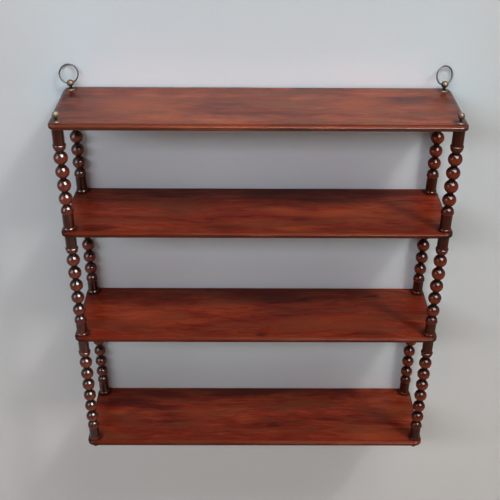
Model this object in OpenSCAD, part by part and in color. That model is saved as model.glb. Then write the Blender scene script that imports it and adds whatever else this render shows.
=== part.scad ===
// Four-shelf mahogany wall shelf on bobbin-turned posts, hung by two brass rings.
// +X is to the right, +Y is towards the wall and +Z is up. The origin is on the wall's plane,
// at the middle of the top shelf's back edge.

/* [Shelves] */
// Width of each shelf, left to right
shelf_w = 626; // [540:1:720]
// Depth of each shelf, front to back
shelf_d = 152.5; // [130:0.5:190]
// Overall height, from the soles of the feet to the top shelf's face
overall_h = 661; // [630:1:720]
// Thickness of each shelf
shelf_t = 9; // [7:0.5:14]
// Radius of the rounded corners, seen from above
corner_r = 13; // [8:0.5:20]
// Radius of the round along each upper edge
top_round = 2.4; // [1:0.1:4]
// Radius of the round along each lower edge
under_round = 1.4; // [0.5:0.1:3]
// Clear height of the bottom tier
bottom_clear = 236; // [215:1:255]
// Clear height of the middle tier; the top tier takes the rest of the overall height
middle_clear = 201; // [185:1:220]

/* [Turned posts] */
// Post axes in from the ends of the shelves
end_inset = 13; // [11:0.5:40]
// Front post axes in from the front edges
front_inset = 13.5; // [11:0.5:35]
// Back post axes in from the back edges
back_inset = 11.5; // [11:0.5:35]
// Diameter of each bead
bead_d = 22; // [18:0.5:23.5]
// Diameter of the necks between beads
neck_d = 9.6; // [7:0.2:13]
// Bead spacing in the bottom tier
bottom_pitch = 25.4; // [22:0.1:32]
// Bead spacing in the middle tier
middle_pitch = 25; // [22:0.1:32]
// Bead spacing in the top tier
top_pitch = 23.5; // [22:0.1:32]
// Diameter of the plain foot and collar of each post
shaft_d = 18; // [14:0.2:19.6]
// Height of the plain foot in the bottom tier
bottom_plain = 29; // [20:0.5:40]
// Height of the plain foot in the middle tier
middle_plain = 26; // [18:0.5:40]
// Height of the plain foot in the top tier
top_plain = 30; // [20:0.5:40]
// Shortest collar left above the beads
collar_min = 15; // [8:0.5:24]
// Diameter of the ring at the base of each post
base_ring_d = 20.6; // [18.8:0.2:24]
// Height of the ring at the base of each post
base_ring_h = 4.5; // [3:0.1:7]
// Radius of the hollow above the base ring
cove_r = 1.2; // [0.6:0.1:2]
// Diameter of the rings that border the beads
bead_ring_d = 20.8; // [20.2:0.2:24]
// Height of the rings that border the beads
bead_ring_h = 3.6; // [2:0.1:6]
// Diameter of the domes at both ends of the beads
dome_d = 20; // [16:0.2:20.4]
// Length of the neck above the lower dome
lower_neck = 2.5; // [1:0.1:8]
// Length of the neck under the upper dome in the bottom tier
bottom_upper_neck = 4; // [0.5:0.1:8]
// Length of the neck under the upper dome in the middle tier
middle_upper_neck = 2.6; // [0.5:0.1:8]
// Length of the neck under the upper dome in the top tier
top_upper_neck = 1; // [0.5:0.1:8]

/* [Joinery] */
// Diameter of the spigot on top of each post and foot
spigot_d = 9; // [7:0.2:10]
// Radial clearance of a spigot in a shelf and in a socket
spigot_fit = 0.1; // [0.05:0.05:0.3]
// Length of a spigot inside the foot of the next post
spigot_grip = 14; // [8:0.5:18]
// Spare depth at the end of each socket
socket_spare = 1; // [0.5:0.1:3]
// Depth of a top spigot's end below the top shelf's face
spigot_sunk = 0.5; // [0.3:0.1:2]

/* [Turned feet] */
// Height of each foot under the bottom shelf
foot_h = 12; // [9:0.5:20]
// Diameter of a foot's collar against the shelf
foot_collar_d = 13; // [11:0.2:18]
// Height of a foot's collar
foot_collar_h = 2.4; // [1.5:0.1:4]
// Diameter of a foot's neck
foot_neck_d = 6.6; // [5:0.2:8]
// Diameter of a foot's ball
foot_ball_d = 10.4; // [8.4:0.2:14]
// Diameter of the flat that a foot stands on
foot_sole_d = 6; // [4:0.2:8]

/* [Brass finials] */
// Diameter of a finial's domed base
finial_base_d = 11.4; // [10:0.2:15]
// Height of a finial's domed base
finial_base_h = 2.4; // [1.5:0.1:4]
// Diameter of a finial's neck
finial_neck_d = 4.2; // [3.8:0.1:6]
// Diameter of a finial's head
finial_head_d = 10.4; // [8:0.2:14]
// Height of the middle of a finial's head above the shelf
finial_head_z = 10.8; // [9:0.1:15]
// Angle below its middle at which a finial's head runs into its tapered neck
finial_taper = 35; // [20:1:50]
// Diameter of the shanks under the finials and ring eyes
shank_d = 3.5; // [3:0.1:3.7]
// Length of the shanks under the finials and ring eyes
shank_len = 20; // [12:0.5:26]
// Radial clearance of a shank in its hole
shank_fit = 0.08; // [0.02:0.01:0.15]

/* [Ring eyes and hanging rings] */
// Diameter of an eye's domed base
eye_base_d = 12.6; // [11:0.2:16]
// Height of an eye's domed base
eye_base_h = 2.2; // [1.5:0.1:4]
// Diameter of an eye's neck
eye_neck_d = 4.6; // [4:0.1:6.4]
// Height at which an eye's neck opens into its head
eye_neck_z = 5; // [3:0.1:6]
// Diameter of an eye's urn-shaped head
eye_head_d = 12.2; // [11:0.2:15]
// Diameter of an eye's head half way up its swell
eye_swell_d = 9.8; // [8:0.2:10.8]
// Diameter of the flat on top of an eye's head
eye_top_d = 7.4; // [5:0.2:9]
// Height of an eye's hole above the shelf
eye_hole_z = 10; // [9.4:0.1:14]
// Height of the urn's flat top above its hole
eye_crown = 4.8; // [3.8:0.1:5.6]
// Outer diameter of a hanging ring
ring_d = 32; // [26:0.5:40]
// Thickness of a hanging ring's wire
wire_d = 2.4; // [1.8:0.1:3]
// Least gap between a ring's wire and its eye
ring_gap = 0.2; // [0.1:0.05:0.4]
// Sideways lean that the eye's flared hole lets a ring take
eye_play = 8; // [4:0.5:10]
// Sideways lean of the left ring as it hangs
left_lean = 8; // [0:0.5:8]
// Turn of the right eye on its shank
right_turn = 25; // [0:1:28]
// Gap left between a hung ring's top and the wall
wall_gap = 0.3; // [0:0.1:1]

/* [Hidden] */
$fn = 64;

board_colour = "#6b2a1c";
post_colour = "#4a1c14";
brass_colour = "#b08a4e";

top_clear = overall_h - foot_h - bottom_clear - middle_clear - 4 * shelf_t;
// Middle of the upright part of a shelf's edge, above its underside
edge_mid = (under_round + shelf_t - top_round) / 2;
// Heights of the shelves' undersides, from the origin at the top shelf's edge downwards
top_z = -edge_mid;
upper_z = top_z - top_clear - shelf_t;
lower_z = upper_z - middle_clear - shelf_t;
bottom_z = lower_z - bottom_clear - shelf_t;

// What the posts of each tier stand on, fill and are turned to
TOP = [upper_z, top_clear, top_pitch, top_plain, top_upper_neck];
MIDDLE = [lower_z, middle_clear, middle_pitch, middle_plain, middle_upper_neck];
BOTTOM = [bottom_z, bottom_clear, bottom_pitch, bottom_plain, bottom_upper_neck];
function floor_z(tier) = tier[0] + shelf_t;
function clear_h(tier) = tier[1];
function pitch(tier) = tier[2];
function plain_h(tier) = tier[3];
function upper_neck(tier) = tier[4];

// The post axes
LEFT = end_inset - shelf_w / 2;
RIGHT = shelf_w / 2 - end_inset;
FRONT = front_inset - shelf_d;
BACK = -back_inset;

// Half the height of a ball of diameter d where its girth has fallen to at_d
function half_chord(d, at_d) = sqrt(d * d - at_d * at_d) / 2;
bead_half = half_chord(bead_d, neck_d);
dome_h = half_chord(dome_d, neck_d);

// Heights on a post, measured from the face that it stands on
function lower_dome_z(tier) = plain_h(tier) + bead_ring_h;
function first_bead_z(tier) = lower_dome_z(tier) + dome_h + lower_neck + bead_half;
function above_beads(tier) = bead_half + upper_neck(tier) + dome_h;
function bead_room(tier) =
    clear_h(tier) - first_bead_z(tier) - above_beads(tier) - bead_ring_h - collar_min;
function bead_count(tier) = 1 + floor(bead_room(tier) / pitch(tier));
function last_bead_z(tier) = first_bead_z(tier) + (bead_count(tier) - 1) * pitch(tier);
function upper_dome_z(tier) = last_bead_z(tier) + above_beads(tier);

hole_d = spigot_d + 2 * spigot_fit;
socket_h = spigot_grip + socket_spare;
shank_hole_d = shank_d + 2 * shank_fit;
ring_r = (ring_d - wire_d) / 2;
function eye_turn(side) = side == RIGHT ? right_turn : 0;
// How far back a hung ring tips, until its wire is wall_gap short of the wall's plane
function side_reach(turn) = ring_r * sin(turn);
tip_room = back_inset - wire_d / 2 - wall_gap;
function tip_back(turn) =
    asin((tip_room * tip_room - side_reach(turn) * side_reach(turn))
        / (2 * tip_room * ring_r * cos(turn)));
// Radius of a ring moulding's rounded rim, as a share of its height
RIM_ROUND = 0.6;
// Reach of a cutter that has to pass right out of what it cuts
over = 1;

// A shelf: a long middle, two ends and four quarter-round corners, all with one edge moulding

// Half of a shelf's cross-section, rounded at its outer edge
module half_section(reach) {
    translate([0, under_round]) square([reach, shelf_t - under_round - top_round]);
    square([reach - under_round, shelf_t / 2]);
    translate([0, shelf_t / 2]) square([reach - top_round, shelf_t / 2]);
    translate([reach - top_round, shelf_t - top_round]) circle(r = top_round);
    translate([reach - under_round, under_round]) circle(r = under_round);
}

module shelf_blank() {
    straight_w = shelf_w - 2 * corner_r;
    straight_d = shelf_d - 2 * corner_r;
    for (side = [0, 180]) rotate([0, 0, side]) {
        // Front or back half of the long middle
        translate([-straight_w / 2, 0, 0]) rotate([90, 0, 90])
            linear_extrude(straight_w) half_section(shelf_d / 2);
        // One end
        translate([straight_w / 2, straight_d / 2, 0]) rotate([90, 0, 0])
            linear_extrude(straight_d) half_section(corner_r);
        // The two corners of that end
        translate([straight_w / 2, straight_d / 2, 0])
            rotate_extrude(angle = 90) half_section(corner_r);
        translate([straight_w / 2, -straight_d / 2, 0]) rotate([0, 0, -90])
            rotate_extrude(angle = 90) half_section(corner_r);
    }
}

// A shelf with its underside at z, and a hole for each spigot
module shelf(z) {
    color(board_colour) translate([0, 0, z]) difference() {
        translate([0, -shelf_d / 2, 0]) shelf_blank();
        for (side = [LEFT, RIGHT], place = [FRONT, BACK])
            translate([side, place, -over]) cylinder(d = hole_d, h = shelf_t + 2 * over);
    }
}

// The turned posts

// A ring moulding of diameter d from z to z + h, with a rounded rim
module rim(z, h, d) {
    rim_r = RIM_ROUND * h;
    translate([0, z]) square([d / 2 - rim_r, h]);
    intersection() {
        translate([d / 2 - rim_r, z + h / 2]) circle(r = rim_r);
        translate([0, z]) square([d / 2, h]);
    }
}

// The hollow that carries the foot down onto its base ring
module cove() {
    translate([0, base_ring_h]) difference() {
        square([shaft_d / 2 + cove_r, cove_r]);
        translate([shaft_d / 2 + cove_r, cove_r]) circle(r = cove_r);
    }
}

// Everything of a post that a gouge cuts, as a half outline: x is the radius, y the height
module post_outline(tier) {
    intersection() {
        union() {
            rim(0, base_ring_h, base_ring_d);
            cove();
            square([shaft_d / 2, plain_h(tier)]);
            rim(plain_h(tier), bead_ring_h, bead_ring_d);
            intersection() {
                translate([0, lower_dome_z(tier)]) circle(d = dome_d);
                translate([0, lower_dome_z(tier) - bead_ring_h / 2]) square([dome_d, dome_d]);
            }
            square([neck_d / 2, upper_dome_z(tier)]);
            for (i = [0 : bead_count(tier) - 1])
                translate([0, first_bead_z(tier) + i * pitch(tier)]) circle(d = bead_d);
            intersection() {
                translate([0, upper_dome_z(tier)]) circle(d = dome_d);
                translate([0, upper_dome_z(tier) + bead_ring_h / 2 - dome_d]) square([dome_d, dome_d]);
            }
            rim(upper_dome_z(tier), bead_ring_h, bead_ring_d);
            translate([0, upper_dome_z(tier) + bead_ring_h / 2])
                square([shaft_d / 2, clear_h(tier) - upper_dome_z(tier) - bead_ring_h / 2]);
        }
        square([bead_d, clear_h(tier)]);
    }
}

// The spigot starts inside the collar and goes up through the shelf into the next post's
// foot. In the top shelf it ends short of the upper face, and a brass shank goes down it.
module post(tier, side, place) {
    top_end = tier == TOP;
    spigot_h = top_end ? shelf_t - spigot_sunk : shelf_t + spigot_grip;
    shank_hole_h = shank_len + socket_spare - spigot_sunk;
    color(post_colour) translate([side, place, floor_z(tier)])
        rotate_extrude() difference() {
            union() {
                post_outline(tier);
                translate([0, clear_h(tier) - collar_min / 2])
                    square([spigot_d / 2, collar_min / 2 + spigot_h]);
            }
            square([hole_d / 2, socket_h]);
            if (top_end)
                translate([0, clear_h(tier) + spigot_h - shank_hole_h])
                    square([shank_hole_d / 2, shank_hole_h + over]);
        }
}

// A turned foot: ball, neck and collar, with a spigot that passes up through the bottom shelf
module foot(side, place) {
    color(post_colour) translate([side, place, bottom_z - foot_h])
        rotate_extrude() {
            intersection() {
                translate([0, half_chord(foot_ball_d, foot_sole_d)]) circle(d = foot_ball_d);
                square([foot_ball_d, foot_h - foot_collar_h]);
            }
            translate([0, foot_h / 2]) square([foot_neck_d / 2, foot_h / 2]);
            rim(foot_h - foot_collar_h, foot_collar_h, foot_collar_d);
            translate([0, foot_h - foot_collar_h / 2])
                square([spigot_d / 2, foot_collar_h / 2 + shelf_t + spigot_grip]);
        }
}

// The brassware, as half outlines above the top shelf's face

// A domed base of diameter d and height h
module brass_base(d, h) {
    dome_r = (d * d / 4 + h * h) / (2 * h);
    intersection() {
        translate([0, h - dome_r]) circle(r = dome_r);
        square([d, h]);
    }
}

module shank() {
    translate([0, -shank_len]) square([shank_d / 2, shank_len + over]);
}

// A front finial: domed base, neck and a pear-shaped head
module finial(side) {
    head_r = finial_head_d / 2;
    taper_z = finial_head_z - head_r * sin(finial_taper);
    taper_h = (head_r * cos(finial_taper) - finial_neck_d / 2) / tan(finial_taper);
    color(brass_colour) translate([side, FRONT, top_z + shelf_t])
        rotate_extrude() {
            shank();
            brass_base(finial_base_d, finial_base_h);
            square([finial_neck_d / 2, finial_head_z]);
            intersection() {
                translate([0, finial_head_z]) circle(r = head_r);
                translate([0, finial_head_z - head_r]) square([head_r, 2 * head_r]);
            }
            polygon([
                [0, taper_z - taper_h], [finial_neck_d / 2, taper_z - taper_h],
                [head_r * cos(finial_taper), taper_z], [0, taper_z]
            ]);
        }
}

// Stands a piece of brassware on a back post, turned on its shank
module at_eye(side) {
    translate([side, BACK, top_z + shelf_t]) rotate([0, 0, eye_turn(side)]) children();
}

// What a ring sweeps in the eye as it swings, leaning up to eye_play either way:
// a hole that flares from its middle to both sides
module flared_hole() {
    wire_in = ring_r - wire_d / 2;
    rotate([0, 90, 0]) rotate_extrude() difference() {
        translate([0, -eye_head_d]) square([ring_r, 2 * eye_head_d]);
        intersection_for (lean = [-eye_play, eye_play])
            translate([ring_r * cos(lean) + ring_gap, ring_r * sin(lean)]) circle(r = wire_in);
    }
}

// An eye: domed base, neck and an urn-shaped head with a flared hole for the ring
module ring_eye(side) {
    head_r = eye_head_d / 2;
    shoulder_z = eye_hole_z + eye_crown - half_chord(eye_head_d, eye_top_d);
    color(brass_colour) at_eye(side) difference() {
        rotate_extrude() {
            shank();
            brass_base(eye_base_d, eye_base_h);
            square([eye_neck_d / 2, shoulder_z]);
            intersection() {
                translate([0, shoulder_z]) circle(r = head_r);
                translate([0, shoulder_z]) square([head_r, eye_hole_z + eye_crown - shoulder_z]);
            }
            polygon([
                [0, eye_neck_z], [eye_neck_d / 2, eye_neck_z],
                [eye_swell_d / 2, (eye_neck_z + shoulder_z) / 2],
                [head_r, shoulder_z], [0, shoulder_z]
            ]);
        }
        translate([0, 0, eye_hole_z]) flared_hole();
    }
}

// A ring standing up out of its eye, tipped back to the wall as it hangs
module hanging_ring(side) {
    lean = side == LEFT ? left_lean : 0;
    color(brass_colour) at_eye(side) translate([0, 0, eye_hole_z])
        rotate([-tip_back(eye_turn(side)), 0, 0]) rotate([0, -lean, 0]) translate([0, 0, ring_r])
        rotate([90, 0, 0]) rotate_extrude() translate([ring_r, 0]) circle(d = wire_d);
}

shelf(top_z);  // top_shelf
shelf(upper_z);  // upper_shelf
shelf(lower_z);  // lower_shelf
shelf(bottom_z);  // bottom_shelf
post(TOP, LEFT, FRONT);  // post_top_front_left
post(TOP, RIGHT, FRONT);  // post_top_front_right
post(TOP, LEFT, BACK);  // post_top_back_left
post(TOP, RIGHT, BACK);  // post_top_back_right
post(MIDDLE, LEFT, FRONT);  // post_middle_front_left
post(MIDDLE, RIGHT, FRONT);  // post_middle_front_right
post(MIDDLE, LEFT, BACK);  // post_middle_back_left
post(MIDDLE, RIGHT, BACK);  // post_middle_back_right
post(BOTTOM, LEFT, FRONT);  // post_bottom_front_left
post(BOTTOM, RIGHT, FRONT);  // post_bottom_front_right
post(BOTTOM, LEFT, BACK);  // post_bottom_back_left
post(BOTTOM, RIGHT, BACK);  // post_bottom_back_right
foot(LEFT, FRONT);  // foot_front_left
foot(RIGHT, FRONT);  // foot_front_right
foot(LEFT, BACK);  // foot_back_left
foot(RIGHT, BACK);  // foot_back_right
finial(LEFT);  // finial_front_left
finial(RIGHT);  // finial_front_right
ring_eye(LEFT);  // ring_eye_left
ring_eye(RIGHT);  // ring_eye_right
hanging_ring(LEFT);  // hanging_ring_left
hanging_ring(RIGHT);  // hanging_ring_right
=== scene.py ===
# %% [markdown]
# # A bobbin-turned hanging shelf, dressed in Blender
#
# The shelf's solids are modelled elsewhere, in millimetres, and packed. This lesson loads them and
# gives each visible piece the finer surface and the finish of the real thing: French-polished
# mahogany boards, turned posts with softly worn beads, and old brass. Nothing is moved. Every new
# piece is worked out with numpy where its solid already stands, and takes the solid's place.

# %% Load the solids
import math

import bpy
import numpy as np
from mathutils import Matrix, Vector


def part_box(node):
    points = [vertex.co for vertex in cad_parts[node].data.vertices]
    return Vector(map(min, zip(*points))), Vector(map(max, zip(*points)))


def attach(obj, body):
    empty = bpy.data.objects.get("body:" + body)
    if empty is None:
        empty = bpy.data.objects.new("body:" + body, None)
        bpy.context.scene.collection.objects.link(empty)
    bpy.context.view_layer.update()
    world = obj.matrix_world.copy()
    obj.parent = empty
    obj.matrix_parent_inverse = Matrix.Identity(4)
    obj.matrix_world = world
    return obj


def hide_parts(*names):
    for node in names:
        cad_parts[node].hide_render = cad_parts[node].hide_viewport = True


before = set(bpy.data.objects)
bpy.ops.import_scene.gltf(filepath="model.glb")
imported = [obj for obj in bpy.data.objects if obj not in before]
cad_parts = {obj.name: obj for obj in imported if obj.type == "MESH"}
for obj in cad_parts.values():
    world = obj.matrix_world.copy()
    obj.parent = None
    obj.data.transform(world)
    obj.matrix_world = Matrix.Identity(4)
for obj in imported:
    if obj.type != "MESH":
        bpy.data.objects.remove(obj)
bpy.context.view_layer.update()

MM = 0.001

# %% [markdown]
# ## The camera
#
# The photograph looks down on the shelf from about 1.3 m in front of the wall. A camera is a
# place, three turns and a focal length, and it could be set by eye. Here all of them were solved
# from the picture itself, from the straight lines of the boards and the spacing of the beads. The
# focal length comes out in pixels, and the sensor's width turns it into millimetres.

# %% Camera
PICTURE_PX = 500
FOCAL_PX = 861.7
CAMERA_AT = np.array([-20.0, -1321.8, 526.1]) * MM
LOOKS_DOWN, LOOKS_RIGHT, TILTS = np.radians([32.22, 0.41, 0.39])
NEAREST_SEEN = 50 * MM


def camera_axes(down, right, tilt):
    """Columns are the camera's right, up and backward directions: a level view along +Y, turned
    right, then tipped down, then tilted about its own line of sight."""
    ahead = np.array([
        np.sin(right) * np.cos(down), np.cos(right) * np.cos(down), -np.sin(down)
    ])
    level = np.array([np.cos(right), -np.sin(right), 0.0])
    above = np.cross(level, ahead)
    side = level * np.cos(tilt) + above * np.sin(tilt)
    up = above * np.cos(tilt) - level * np.sin(tilt)
    return np.column_stack([side, up, -ahead])


def put_in_scene(name, data, axes=np.eye(3), at=(0, 0, 0)):
    """A new object of this data, whose own directions are the columns of axes, at a place."""
    thing = bpy.data.objects.new(name, data)
    bpy.context.scene.collection.objects.link(thing)
    placed = np.eye(4)
    placed[:3, :3], placed[:3, 3] = axes, at
    thing.matrix_world = Matrix(placed.tolist())
    return thing


camera = put_in_scene("camera", bpy.data.cameras.new("camera"),
                      camera_axes(LOOKS_DOWN, LOOKS_RIGHT, TILTS), CAMERA_AT)
camera.data.lens = FOCAL_PX / PICTURE_PX * camera.data.sensor_width
camera.data.clip_start = NEAREST_SEEN
bpy.context.scene.camera = camera
print("lens:", round(camera.data.lens, 1), "mm")

# %% [markdown]
# ## Small tools for materials
#
# A material here is a graph of nodes. Building one by hand takes many clicks, and building it in
# code takes many lines, so one helper adds a node, sets its options and plugs its inputs in. Sums,
# and the shader that ends every material, come up so often that they get a short form.

# %% Node helpers
def add_node(tree, kind, inputs=None, **options):
    """Adds a node. Each input is a plain value, or the output socket of an earlier node."""
    node = tree.nodes.new(kind)
    for option, value in options.items():
        setattr(node, option, value)
    for name, value in (inputs or {}).items():
        if isinstance(value, bpy.types.NodeSocket):
            tree.links.new(value, node.inputs[name])
        else:
            node.inputs[name].default_value = value
    return node


def math_node(tree, operation, *values):
    """What a Math node makes of the values."""
    node = add_node(tree, "ShaderNodeMath", dict(enumerate(values)), operation=operation)
    return node.outputs[0]


def vector_node(tree, operation, *values):
    """What a Vector Math node makes of them: a number for LENGTH, and otherwise a vector."""
    node = add_node(tree, "ShaderNodeVectorMath", dict(enumerate(values)), operation=operation)
    return node.outputs["Value" if operation == "LENGTH" else "Vector"]


def new_material(name):
    """An empty node material and its tree."""
    material = bpy.data.materials.new(name)
    material.use_nodes = True
    material.node_tree.nodes.clear()
    return material, material.node_tree


def add_shader(tree, inputs):
    """The Principled shader, joined to the material's output."""
    shader = add_node(tree, "ShaderNodeBsdfPrincipled", inputs)
    add_node(tree, "ShaderNodeOutputMaterial", {"Surface": shader.outputs[0]})


print("materials that came with the solids:", len(bpy.data.materials))

# %% [markdown]
# ## Colours and ranges
#
# A colour is picked as it looks on screen, but a shader wants its linear value, where half the
# light is half the number. Two more nodes come up everywhere: one mixes two colours, and one turns
# a noise or a height into an amount. Most of a noise lies between 0.3 and 0.7, so most of the
# ranges below start from those two.

# %% Colours and ranges
NOISE = 0.3, 0.7


def linear(red, green, blue):
    """A colour as it is picked on screen, 0 to 255, as the linear values that a shader takes."""
    c = np.array([red, green, blue]) / 255
    c = np.where(c <= 0.04045, c / 12.92, ((c + 0.055) / 1.055) ** 2.4)
    return (*c.tolist(), 1.0)


def blend(tree, amount, low, high, kind="MIX"):
    """A colour mix of low and high by amount."""
    mix = add_node(tree, "ShaderNodeMix", {0: amount, 6: low, 7: high},
                   data_type="RGBA", blend_type=kind)
    return mix.outputs[2]


def remap(tree, value, low, high, to_low=0.0, to_high=1.0):
    """value taken from low..high to to_low..to_high, and held at both ends."""
    return add_node(tree, "ShaderNodeMapRange", {
        0: value, 1: low, 2: high, 3: to_low, 4: to_high
    }).outputs[0]


print("brass on screen (170, 145, 100) is", np.round(linear(170, 145, 100), 3), "in a shader")

# %% [markdown]
# ## The room
#
# The shelf hangs on a plain painted wall, and much of its look comes from that wall: soft shadows
# fall on it, and the polished boards mirror it. So the room is part of the lighting. Two large
# sheets are enough, one for the wall and one for the floor. A closed room would shut the lamps out.

# %% Sheets and paint
FLOOR_Z = -1.5
ROOM = 4.0


def flat_sheet(name, corners, material):
    """One four-cornered sheet, which isn't part of the object."""
    mesh = bpy.data.meshes.new(name)
    mesh.from_pydata(corners, [], [(0, 1, 2, 3)])
    mesh.materials.append(material)
    put_in_scene(name, mesh)


def painted(name, colour):
    """Matt paint."""
    material, tree = new_material(name)
    add_shader(tree, {"Base Color": colour, "Roughness": 0.85, "Specular IOR Level": 0.0})
    return material


print("wall:", 2 * ROOM, "m wide, with the floor", -FLOOR_Z, "m below the top board")

# %% [markdown]
# ## The wall and the floor
#
# The wall stands a millimetre behind the boards' back edges. From behind it would hide the shelf,
# so its back is transparent. It also lets very short rays through, or the back edges would be
# black. Its colour is partly painted light. Red light from the boards would show on the paint
# behind them, so the paint is painted a shade cooler there to cancel it, most of all just above the
# top board. Low down it's painted a shade warmer, standing in for warm light from a floor. Both go
# by Object coordinates, which are metres here, as the sheet is at the origin.

# %% Wall and floor
WALL_PAINT = linear(211, 215, 220)
# Painted light: the cooler paint cancels the boards' red light, and the warmer one is floor light.
COOLED_PAINT = linear(209, 229, 240)
FLOOR_LIGHT_PAINT = linear(214, 212, 214)
FLOOR_PAINT = linear(216, 210, 201)
WALL_GAP = 1 * MM
SEE_THROUGH = 4 * MM
COOL_WITHIN = 0.28, 0.4
COOL_FROM = -0.7, -0.6
COOL_SHARE = 0.35
COOL_FULLY = -0.06, 0.0
COOL_UNTIL = 0.0, 0.25
FLOOR_LIGHT_DOWN = -0.2, -0.75


def graded_colour(tree):
    """WALL_PAINT, going over low down to a warmer paint, a painted warm light from the floor, and
    near the shelf to COOLED_PAINT, which cancels the boards' red light: by COOL_SHARE behind the
    lower boards and all the way at the top one."""
    place = add_node(tree, "ShaderNodeSeparateXYZ", {
        0: add_node(tree, "ShaderNodeTexCoord").outputs["Object"]
    }).outputs
    height = place["Z"]
    cooled = remap(tree, math_node(tree, "ABSOLUTE", place["X"]), *COOL_WITHIN, 1.0, 0.0)
    for share in (remap(tree, height, *COOL_FROM),
                  remap(tree, height, *COOL_FULLY, COOL_SHARE, 1.0),
                  remap(tree, height, *COOL_UNTIL, 1.0, 0.0)):
        cooled = math_node(tree, "MULTIPLY", cooled, share)
    colour = blend(tree, remap(tree, height, *FLOOR_LIGHT_DOWN), WALL_PAINT, FLOOR_LIGHT_PAINT)
    return blend(tree, cooled, colour, COOLED_PAINT)


def one_sided_wall(name):
    """Graded paint on the room's side, and nothing from behind or to rays under SEE_THROUGH."""
    material = painted(name, WALL_PAINT)
    tree = material.node_tree
    tree.links.new(graded_colour(tree), tree.nodes["Principled BSDF"].inputs["Base Color"])
    length = add_node(tree, "ShaderNodeLightPath").outputs["Ray Length"]
    clear = math_node(tree, "MAXIMUM",
                      add_node(tree, "ShaderNodeNewGeometry").outputs["Backfacing"],
                      math_node(tree, "LESS_THAN", length, SEE_THROUGH))
    surface = tree.nodes["Material Output"].inputs["Surface"]
    mix = add_node(tree, "ShaderNodeMixShader", {
        0: clear, 1: surface.links[0].from_socket,
        2: add_node(tree, "ShaderNodeBsdfTransparent").outputs[0]
    })
    tree.links.new(mix.outputs[0], surface)
    return material


flat_sheet("wall", [
    (-ROOM, WALL_GAP, FLOOR_Z), (ROOM, WALL_GAP, FLOOR_Z),
    (ROOM, WALL_GAP, ROOM), (-ROOM, WALL_GAP, ROOM)
], one_sided_wall("wall_paint"))
flat_sheet("floor", [
    (-ROOM, -ROOM, FLOOR_Z), (ROOM, -ROOM, FLOOR_Z), (ROOM, ROOM, FLOOR_Z), (-ROOM, ROOM, FLOOR_Z)
], painted("floor_paint", FLOOR_PAINT))
print("gap behind the boards:", round(WALL_GAP / MM, 1), "mm")

# %% [markdown]
# ## The light
#
# The light can be read from the shadows. Each board throws a band of shadow on the one below, and
# the depth of the bands gives the main lamp's height. The posts' shadows run to the left, which
# puts it on the right. It is a small lamp in a long strip, because the shadows have a firm core and
# wide soft sides. A second lamp shows in the dark line on the wall close under the top board: the
# line ends 90 mm below a board 152 mm deep, so this lamp stands 30 degrees up. The beads' dimmer
# highlights put it on the left.
#
# The matt light and the mirrored light can be tuned apart: some lamps only light surfaces, and
# others are only seen in the polish. One mirrored lamp makes the beads' bright highlights, one the
# dim ones, and a narrow one overhead the soft light on their tops. All are area lamps, since a
# point or a sun would give every bead the same hard dot.

# %% Lamps
AIM = np.array([0.0, -76.0, -300.0]) * MM
TO_KEY = 0.447, -0.410, 0.795


def soft_lamp(name, towards, distance, width, height, power, colour, job="light", level=False):
    """A rectangular lamp, distance metres from AIM in the direction towards, facing it, or hung
    level with its width along the boards. Its job is "light" if it only lights matt surfaces, or
    "shine" if it is only seen mirrored in glossy ones."""
    lamp = bpy.data.lights.new(name, "AREA")
    lamp.shape = "RECTANGLE"
    lamp.size, lamp.size_y, lamp.energy, lamp.color = width, height, power, colour
    back = np.array(towards) / np.linalg.norm(towards)
    at = AIM + distance * back
    if level:
        back = back * [0, 1, 1] / np.linalg.norm(back[1:])
    side = np.cross([0, 0, 1], back)
    side /= np.linalg.norm(side)
    hung = put_in_scene(name, lamp, np.column_stack([side, np.cross(back, side), back]), at)
    hung.visible_camera = False
    hung.visible_glossy = job == "shine"
    hung.visible_diffuse = job == "light"


soft_lamp("key", TO_KEY, 4.0, 0.5, 0.45, 49, (1.0, 1.0, 0.92), level=True)
soft_lamp("key_strip", TO_KEY, 4.0, 3.0, 0.5, 52, (1.0, 0.96, 0.91), level=True)
soft_lamp("second", (-0.562, -0.670, 0.485), 3.0, 2.6, 0.4, 36, (0.97, 1.0, 1.05), level=True)
soft_lamp("front_fill", (0.0, -1.0, 0.0), 3.0, 2.0, 0.8, 5, (1.0, 0.95, 0.85))
soft_lamp("low_right", (0.9, -0.5, -0.1), 3.0, 1.2, 1.2, 10, (1.0, 0.96, 0.86))
soft_lamp("ceiling", (0.0, -0.3, 1.0), 3.0, 2.5, 1.5, 1, (0.96, 0.98, 1.0))
soft_lamp("behind", (-0.3, 0.9, -0.2), 2.6, 1.5, 1.5, 30, (0.97, 0.98, 1.0))
soft_lamp("right_shine", (0.230, -0.295, 0.927), 2.2, 1.4, 3.0, 440, (1.0, 0.99, 0.96), "shine")
soft_lamp("left_shine", (-0.757, -0.486, 0.442), 1.45, 0.7, 0.9, 11, (0.97, 0.98, 1.0), "shine")
soft_lamp("over_shine", (0.0, -0.06, 1.0), 2.0, 3.0, 0.5, 17, (1.0, 0.99, 0.98), "shine")
print("lamps:", len(bpy.data.lights))

# %% [markdown]
# ## The backdrop
#
# Past the wall there is only the world. It should look pale, and polish and metal should mirror
# it, but as a light it would fill every shadow. The Light Path node tells the rays apart: full
# strength for the camera's rays and the mirrored and clear ones, and next to nothing for the rest.

# %% World
BACKDROP = linear(176, 180, 184)
DIM = 0.03

world = bpy.data.worlds.new("pale_room")
bpy.context.scene.world = world
world.use_nodes = True
sky = world.node_tree
rays = add_node(sky, "ShaderNodeLightPath").outputs
seen = math_node(sky, "MAXIMUM", rays["Is Camera Ray"], rays["Is Glossy Ray"])
seen = math_node(sky, "MAXIMUM", seen, rays["Is Transmission Ray"])
background = sky.nodes["Background"].inputs
sky.links.new(remap(sky, seen, 0.0, 1.0, DIM, 1.0), background["Strength"])
background["Color"].default_value = BACKDROP
bpy.context.scene.view_settings.view_transform = "Standard"
print("backdrop:", np.round(BACKDROP[:3], 2))

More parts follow.
